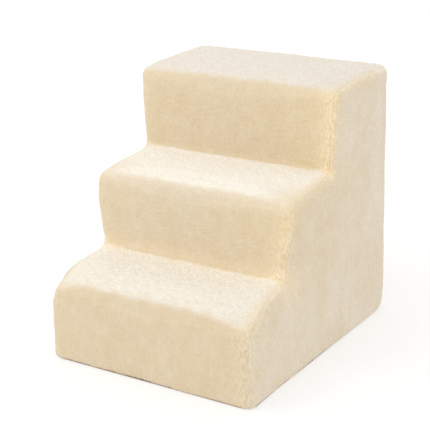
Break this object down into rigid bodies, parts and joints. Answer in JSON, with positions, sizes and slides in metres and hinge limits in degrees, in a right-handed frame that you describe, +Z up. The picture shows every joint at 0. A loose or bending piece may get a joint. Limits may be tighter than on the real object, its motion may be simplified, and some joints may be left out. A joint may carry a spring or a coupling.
{
  "type": "pet stairs",
  "caption": "Soft pet stairs with wide padded treads, a foam core, a cream plush cover that zips off at the back and a dark grip base.",
  "frame": {"origin": "middle of the footprint on the surface the stairs stand on", "axes": "+X across the treads, +Y the way the flight climbs, from the lowest riser to the back, +Z up"},
  "size_m": [0.4, 0.49, 0.457],
  "materials": {
    "plush": "short cream plush pile",
    "grip_fabric": "dark woven base cloth with small grip dots",
    "liner_cloth": "plain white non-woven cloth",
    "core_foam": "firm open-cell foam",
    "soft_foam": "soft open-cell foam",
    "zip_tape": "woven polyester tape",
    "zip_coil": "moulded nylon coil",
    "zip_metal": "satin nickel plate"
  },
  "bodies": {
    "stairs": {"cover_side_left": "plush", "cover_side_right": "plush", "cover_step_1": "plush", "cover_step_2": "plush", "cover_step_3": "plush", "cover_back_upper": "plush", "cover_back_lower": "plush", "cover_base": "grip_fabric", "inner_liner": "liner_cloth", "foam_slab_bottom": "core_foam", "foam_slab_middle": "core_foam", "foam_slab_top": "core_foam", "tread_pad_1": "soft_foam", "tread_pad_2": "soft_foam", "tread_pad_3": "soft_foam", "zip_tape_upper": "zip_tape", "zip_tape_lower": "zip_tape", "zip_coil_upper": "zip_coil", "zip_coil_lower": "zip_coil", "zip_stop_left": "zip_metal", "zip_stop_right": "zip_metal"},
    "zip_slider": {"zip_slider": "zip_metal"},
    "zip_pull": {"zip_pull": "zip_metal"}
  },
  "joints": [
    {"name": "slider_travel", "type": "slide", "parent": "stairs", "child": "zip_slider", "axis": [1, 0, 0], "range_m": [0, 0.307]},
    {"name": "pull_flip", "type": "hinge", "parent": "zip_slider", "child": "zip_pull", "pos_m": [-0.1535, 0.2437, 0.04], "axis": [0, 0, 1], "range_deg": [0, 180]}
  ]
}
